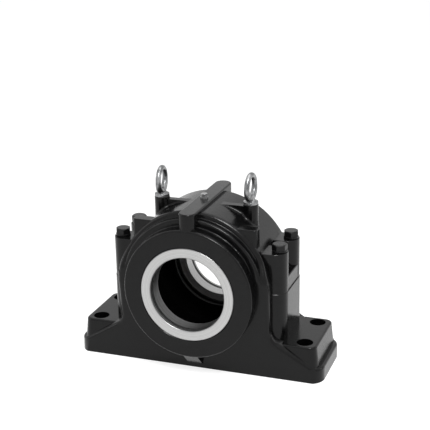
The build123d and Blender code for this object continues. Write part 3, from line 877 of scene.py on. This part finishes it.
@dataclass
class Eyebolts:
    """The two forged lifting eyebolts screwed into the cap."""

    ring_diameter: float = 57 * MM
    wire_diameter: float = 10.4 * MM
    foot_swell: float = 0.3
    collar_radius: float = 14.5 * MM
    collar_height: float = 7 * MM
    collar_slope: float = 1.5 * MM
    neck_radius: float = 10.5 * MM
    neck_height: float = 15 * MM
    waist_share: float = 0.72
    shank_radius: float = 6 * MM
    shank_length: float = 20 * MM
    wire_points: int = 32
    grain: float = 0.55 * MM
    smoothing: float = 0.5
    smoothing_rounds: int = 5
    turns: tuple[float, ...] = (5.5, -1.0)
    nodes: tuple[str, ...] = ("eyebolt_left", "eyebolt_right")

    def tree(self, shapes: Shapes) -> bpy.types.NodeTree:
        """Builds the ring, neck, collar and shank of one eyebolt and sets a pair of them.

        Args:
            shapes: The shared geometry groups.

        Returns:
            The tree.
        """
        names = ("Ring Radius", "Wire Radius", "Foot Swell", "Ring Height", "Collar Radius",
                 "Collar Height", "Collar Slope", "Neck Radius", "Neck Height", "Shank Radius",
                 "Shank Length", "Spacing", "Seat Height", "Left Turn", "Right Turn")
        tree, graph = new_group(
            "lifting_eyebolts", "GeometryNodeTree",
            [*numbers(*names), FINISH_INPUT], [("Eyebolts", "NodeSocketGeometry")],
        )
        given = graph.add("NodeGroupInput").outputs
        circle = graph.add("GeometryNodeCurvePrimitiveCircle", Resolution=Shapes.AROUND,
                           Radius=given["Ring Radius"])
        stood = graph.add("GeometryNodeTransform", Geometry=circle,
                          Rotation=(math.pi / 2, 0.0, math.pi / 2))
        place = graph.add("GeometryNodeInputPosition")
        height = graph.add("ShaderNodeSeparateXYZ", Vector=place).outputs["Z"]
        low = graph.math("DIVIDE", graph.math("MULTIPLY", height, -1.0), given["Ring Radius"])
        near_foot = graph.math("MULTIPLY", graph.math("MAXIMUM", low, 0.0), given["Foot Swell"])
        wire = graph.add("GeometryNodeCurvePrimitiveCircle", Resolution=self.wire_points,
                         Radius=given["Wire Radius"])
        ring = graph.add("GeometryNodeCurveToMesh", Curve=stood,
                         Profile_Curve=wire, Scale=graph.math("ADD", 1.0, near_foot))
        lift = graph.add("ShaderNodeCombineXYZ", Z=given["Ring Height"])
        raised = graph.add("GeometryNodeTransform", Geometry=ring,
                           Translation=lift)
        rim = graph.math("SUBTRACT", given["Collar Height"], given["Collar Slope"])
        shank, tip = given["Shank Radius"], graph.math("SUBTRACT", 0.0, given["Shank Length"])
        waist = graph.math("MULTIPLY", given["Neck Radius"], self.waist_share)
        half_way = graph.math("MULTIPLY", graph.math(
            "ADD", given["Collar Height"], given["Neck Height"]), 0.5)
        stem = shapes.spun(graph, [
            (0.0, given["Neck Height"]),
            (given["Wire Radius"], given["Neck Height"]),
            (waist, half_way),
            (given["Neck Radius"], given["Collar Height"]),
            (given["Collar Radius"], rim),
            (given["Collar Radius"], 0.0),
            (shank, 0.0),
            (shank, tip),
            (0.0, tip),
        ])
        join = graph.add("GeometryNodeJoinGeometry")
        for part in (raised, stem):
            graph.put(join, 0, part)
        half = graph.math("DIVIDE", given["Spacing"], 2.0)
        start = graph.add("ShaderNodeCombineXYZ", X=graph.math("MULTIPLY", half, -1.0),
                          Z=given["Seat Height"])
        end = graph.add("ShaderNodeCombineXYZ", X=half, Z=given["Seat Height"])
        pair = graph.add("GeometryNodeMeshLine", {"mode": "END_POINTS"}, Count=2,
                         Start_Location=start, Offset=end)
        side = graph.add("GeometryNodeInputIndex")
        swing = graph.math("SUBTRACT", given["Right Turn"], given["Left Turn"])
        turn = graph.math("ADD", given["Left Turn"], graph.math("MULTIPLY", side, swing))
        placed = graph.add("GeometryNodeInstanceOnPoints", Points=pair,
                           Instance=join,
                           Rotation=graph.add("ShaderNodeCombineXYZ", Z=turn))
        real = graph.add("GeometryNodeRealizeInstances", Geometry=placed)
        finished = graph.add("GeometryNodeSetMaterial", Geometry=real,
                             Material=given["Finish"])
        graph.add("NodeGroupOutput", Eyebolts=finished)
        return tree

    def build(self, shapes: Shapes, finish: bpy.types.Material) -> bpy.types.Object:
        """Makes the eyebolts, with ring and neck run into each other as forged.

        Args:
            shapes: The shared geometry groups.
            finish: The eyebolts' finish.

        Returns:
            The pair as one piece.
        """
        left, right = middle_of(self.nodes[0]), middle_of(self.nodes[1])
        low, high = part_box(self.nodes[0])
        seat = low.z + self.shank_length
        piece = grow("lifting_eyebolts", self.tree(shapes), {
            "Ring Radius": (self.ring_diameter - self.wire_diameter) / 2,
            "Wire Radius": self.wire_diameter / 2,
            "Foot Swell": self.foot_swell,
            "Ring Height": high.z - seat - self.ring_diameter / 2,
            "Collar Radius": self.collar_radius,
            "Collar Height": self.collar_height,
            "Collar Slope": self.collar_slope,
            "Neck Radius": self.neck_radius,
            "Neck Height": self.neck_height,
            "Shank Radius": self.shank_radius,
            "Shank Length": self.shank_length,
            "Spacing": right.x - left.x,
            "Seat Height": seat,
            "Left Turn": math.radians(self.turns[0]),
            "Right Turn": math.radians(self.turns[1]),
            "Finish": finish,
        }, finishers=(
            ("REMESH", {"mode": "VOXEL", "voxel_size": self.grain}),
            ("SMOOTH", {"factor": self.smoothing, "iterations": self.smoothing_rounds}),
        ))
        dress(piece, finish)
        piece.data.shade_smooth()
        fit(piece, Body.HOUSING, Slot.ZINC, *self.nodes)
        return piece


# ---------------------------------------------------------------- casting


@dataclass
class CapFlares:
    """The four cast flares where the cap's rounded steps run out into its flat cheeks.

    Each is a skin over the cap, swept up from the split round the shaft axis. Its section goes
    from the flat cheek at the split to the steps of shoulder and barrel at its upper end.
    """

    axis_height: float = AXIS_HEIGHT
    hub_radius: float = 130 * MM
    shoulder_radius: float = 144 * MM
    shoulder_half: float = 91 * MM
    shoulder_edge: float = 4 * MM
    barrel_radius: float = 155 * MM
    barrel_half: float = 76 * MM
    barrel_edge: float = 8 * MM
    cheek_half: float = 93 * MM
    cheek_edge: float = 9 * MM
    skin: float = 0.15 * MM
    depth: float = 50 * MM
    first_angle: float = 0.12
    full_until: float = 8.5
    last_angle: float = 33.0
    stations: int = 40
    arc_points: int = 7
    step_points: int = 3
    root_points: int = 2
    sharp_angle: float = 40.0

    @staticmethod
    def _arc(middle: tuple[float, float], radius: float, count: int) -> list[tuple[float, float]]:
        """Gives points of a quarter circle from its front to its outer side.

        Args:
            middle: Its centre, as radius from the shaft axis and distance from mid-width.
            radius: Its radius.
            count: How many points.

        Returns:
            The points.
        """
        angles = [math.pi / 2 * (1 - step / (count - 1)) for step in range(count)]
        return [(middle[0] + radius * math.cos(a), middle[1] + radius * math.sin(a))
                for a in angles]

    @staticmethod
    def _run(start: tuple[float, float], end: tuple[float, float],
             count: int) -> list[tuple[float, float]]:
        """Gives points of a straight run, with its start and without its end."""
        return [tuple(a + (b - a) * step / count for a, b in zip(start, end))
                for step in range(count)]

    def stepped(self) -> list[tuple[float, float]]:
        """Draws the section over the steps of shoulder and barrel.

        Returns:
            Its points, as radius from the shaft axis and distance from mid-width.
        """
        inner = (self.hub_radius, self.shoulder_half)
        shoulder = self._arc((self.shoulder_radius - self.shoulder_edge,
                              self.shoulder_half - self.shoulder_edge),
                             self.shoulder_edge, self.arc_points)
        root = (self.shoulder_radius, self.barrel_half)
        barrel = self._arc((self.barrel_radius - self.barrel_edge,
                            self.barrel_half - self.barrel_edge),
                           self.barrel_edge, self.arc_points)
        return [*self._run(inner, shoulder[0], self.step_points), *shoulder[:-1],
                *self._run(shoulder[-1], root, self.step_points),
                *self._run(root, barrel[0], self.root_points), *barrel,
                (self.barrel_radius, self.depth)]

    def flat(self) -> list[tuple[float, float]]:
        """Draws the section over the flat cheek.

        Returns:
            As many points as the stepped section has, given as it gives them.
        """
        rim = self._arc((self.barrel_radius - self.cheek_edge, self.cheek_half - self.cheek_edge),
                        self.cheek_edge, self.arc_points)
        before = len(self.stepped()) - len(rim) - 1
        return [*self._run((self.hub_radius, self.cheek_half), rim[0], before), *rim,
                (self.barrel_radius, self.depth)]

    def _share(self, angle: float) -> float:
        """Works out how much of the flat section there is.

        Args:
            angle: Degrees above the split.

        Returns:
            1 for all of it, 0 for none, eased between the two.
        """
        part = (angle - self.full_until) / (self.last_angle - self.full_until)
        part = min(max(part, 0.0), 1.0)
        return 1.0 - part * part * part * (part * (6 * part - 15) + 10)

    def build(self, finish: bpy.types.Material) -> bpy.types.Object:
        """Makes the flares on both faces and both sides of the cap.

        Args:
            finish: The casting's finish.

        Returns:
            The four flares as one piece.
        """
        stepped, flat = self.stepped(), self.flat()
        inner_back = (self.hub_radius, self.depth)
        count = len(stepped) + 1
        points: list[tuple[float, float, float]] = []
        faces: list[Sequence[int]] = []
        for side in (-1, 1):
            for end in (-1, 1):
                start = len(points)
                for station in range(self.stations + 1):
                    angle = self.first_angle + (self.last_angle - self.first_angle) * (
                        station / self.stations)
                    share = self._share(angle)
                    section = [
                        (r0 + (r1 - r0) * share + self.skin, y0 + (y1 - y0) * share + self.skin)
                        for (r0, y0), (r1, y1) in zip(stepped, flat)
                    ]
                    turn = math.radians(angle)
                    points += [
                        (side * radius * math.cos(turn), end * out,
                         self.axis_height + radius * math.sin(turn))
                        for radius, out in (*section, inner_back)
                    ]
                for station in range(self.stations):
                    low, high = start + station * count, start + (station + 1) * count
                    faces += [
                        (low + i, low + (i + 1) % count, high + (i + 1) % count, high + i)
                        for i in range(count)
                    ]
                faces.append(range(start, start + count))
                last = start + self.stations * count
                faces.append(range(last, last + count))
        mesh = bpy.data.meshes.new("cap_flares")
        mesh.from_pydata(points, [], [tuple(face) for face in faces])
        piece = add_object("cap_flares", mesh)
        close_up(piece, self.sharp_angle)
        dress(piece, finish)
        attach(piece, Body.HOUSING.value)
        log.info("%s: %d faces, over the cap's cheeks", piece.name, len(mesh.polygons))
        return piece


# ---------------------------------------------------------------- camera and studio


@dataclass
class Viewpoint:
    """Place, aim and lens of the camera, a little above the product's front right."""

    azimuth: float = 19.993
    elevation: float = 18.705
    roll: float = -1.067
    distance: float = 2.0939
    aim: tuple[float, float, float] = (0.01825, 0.0, 0.29526)
    focal_length: float = 89.706

    def place(self) -> bpy.types.Object:
        """Makes the scene's camera.

        Returns:
            The camera object.
        """
        around, above = math.radians(self.azimuth), math.radians(self.elevation)
        back = Vector((
            math.sin(around) * math.cos(above),
            -math.cos(around) * math.cos(above),
            math.sin(above),
        ))
        data = bpy.data.cameras.new("studio_camera")
        data.lens = self.focal_length
        camera = add_object("studio_camera", data)
        turn = (-back).to_track_quat("-Z", "Y").to_matrix().to_4x4()
        turn = turn @ Matrix.Rotation(math.radians(self.roll), 4, "Z")
        camera.matrix_world = Matrix.Translation(Vector(self.aim) + back * self.distance) @ turn
        bpy.context.scene.camera = camera
        return camera


@dataclass
class Softbox:
    """One rectangular studio light aimed at a point."""

    name: str
    place: tuple[float, float, float]
    aim: tuple[float, float, float]
    size: tuple[float, float]
    power: float

    def hang(self) -> None:
        """Makes the light."""
        data = bpy.data.lights.new(self.name, "AREA")
        data.shape = "RECTANGLE"
        data.size, data.size_y = self.size
        data.energy = self.power
        light = add_object(self.name, data)
        towards = Vector(self.aim) - Vector(self.place)
        turn = towards.to_track_quat("-Z", "Y").to_matrix().to_4x4()
        light.matrix_world = Matrix.Translation(Vector(self.place)) @ turn


@dataclass
class Studio:
    """White floor and background, and the softboxes round the product."""

    floor_size: float = 30.0
    floor_drop: float = 0.3 * MM
    fill: float = 0.32
    paper: float = 0.4
    glow: float = 0.81
    sky_power: float = 0.5
    sky_spread: float = 70.0
    sky_height: float = 3.0
    softboxes: tuple[Softbox, ...] = field(default_factory=lambda: (
        Softbox("key_softbox", (0.55, -0.95, 1.9), (0.0, 0.0, 0.2), (0.55, 0.75), 32.0),
        Softbox("overhead_strip", (0.1, 0.5, 1.8), (0.0, 0.0, 0.2), (1.4, 0.25), 4.0),
        Softbox("left_strip", (-1.6, -0.6, 0.9), (-0.1, 0.0, 0.15), (0.3, 1.0), 2.5),
        Softbox("right_strip", (1.7, 0.5, 0.9), (0.1, 0.0, 0.15), (0.3, 1.0), 3.0),
    ))

    @staticmethod
    def _shown(graph: Graph) -> bpy.types.NodeSocket:
        """Adds a mask of the rays that see the background.

        Args:
            graph: The graph to add it to.

        Returns:
            1 for camera, glossy and transmission rays, else 0.
        """
        path = graph.add("ShaderNodeLightPath")
        rays = [path.outputs[ray.value] for ray in Ray]
        total = graph.math("ADD", graph.math("ADD", rays[0], rays[1]), rays[2])
        return graph.math("MINIMUM", total, 1.0)

    def light_world(self) -> None:
        """Fills the world with white for what sees it and a lower level for diffuse light."""
        world = bpy.data.worlds.new("studio_world")
        world.use_nodes = True
        bpy.context.scene.world = world
        graph = Graph(world.node_tree)
        shader = world.node_tree.nodes["Background"]
        graph.put(shader, "Color", (1.0, 1.0, 1.0, 1.0))
        seen = self._shown(graph)
        graph.put(shader, "Strength", graph.math(
            "ADD", self.fill, graph.math("MULTIPLY", seen, 1.0 - self.fill)))

    def light_evenly(self) -> None:
        """Adds a broad, far light straight above, which reaches the whole floor alike."""
        data = bpy.data.lights.new("even_light", "SUN")
        data.energy = self.sky_power
        data.angle = math.radians(self.sky_spread)
        add_object("even_light", data).location = (0.0, 0.0, self.sky_height)

    def lay_floor(self) -> bpy.types.Object:
        """Makes the floor, white where nothing shades it.

        Returns:
            The floor.
        """
        half = self.floor_size / 2
        mesh = bpy.data.meshes.new("studio_floor")
        corners = [(x, y, -self.floor_drop) for x, y in (
            (-half, -half), (half, -half), (half, half), (-half, half))]
        mesh.from_pydata(corners, [], [(0, 1, 2, 3)])
        floor = add_object("studio_floor", mesh)
        material = bpy.data.materials.new("white_sweep")
        material.use_nodes = True
        tree = material.node_tree
        tree.nodes.remove(tree.nodes["Principled BSDF"])
        graph = Graph(tree)
        paper = graph.add("ShaderNodeBsdfDiffuse", Color=(self.paper, self.paper, self.paper, 1.0))
        glow = graph.add("ShaderNodeEmission", Color=(1.0, 1.0, 1.0, 1.0), Strength=self.glow)
        both = graph.add("ShaderNodeAddShader", None, paper, glow)
        mix = graph.add("ShaderNodeMixShader", None, self._shown(graph), paper, both)
        graph.put(tree.nodes["Material Output"], "Surface", mix)
        dress(floor, material)
        return floor

    def build(self) -> None:
        """Builds the world, the floor and the lights, at Standard view transform."""
        bpy.context.scene.view_settings.view_transform = "Standard"
        self.light_world()
        self.lay_floor()
        for softbox in self.softboxes:
            softbox.hang()
        self.light_evenly()


def main() -> None:
    """Builds the dressed product and its studio."""
    logging.basicConfig(level=logging.INFO, format="%(name)s: %(message)s")
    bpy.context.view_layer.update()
    effects = SurfaceEffects()
    shapes = Shapes()
    enamel, bolt_enamel, steel, rear_ring_lighter_painted_shade, zinc, plug, rubber = (
        finish.material(effects) for finish in (
            BLACK_ENAMEL, BOLT_ENAMEL, RING_STEEL, REAR_RING_LIGHTER_PAINTED_SHADE, ZINC_PLATE, PLUG_PLATE,
            NITRILE_RUBBER))
    finishes = {
        Slot.BLACK_PAINT: enamel,
        Slot.PAINTED_FASTENER: bolt_enamel,
        Slot.TURNED_STEEL: steel,
        Slot.ZINC: zinc,
        Slot.PLUG_STEEL: plug,
        Slot.PIN_STEEL: steel,
        Slot.RUBBER: rubber,
    }
    for row in frame["record"]["subparts"]:
        slot = Slot(row["material_slot"])
        dress(frame["nodes"][row["node"]], finishes[slot])
        log.info("%s: dressed in %s", row["node"], slot.value)
    # The rear ring takes the copy with the lighter painted shade on its bore and rim.
    dress(frame["nodes"]["labyrinth_ring_rear"], rear_ring_lighter_painted_shade)
    CapFlares().build(enamel)
    bolts = CapBolts()
    bolts.build(shapes, bolt_enamel)
    SpringWashers().build(shapes, bolts, bolt_enamel)
    Eyebolts().build(shapes, zinc)
    Studio().build()
    Viewpoint().place()


if __name__ == "__main__":
    main()
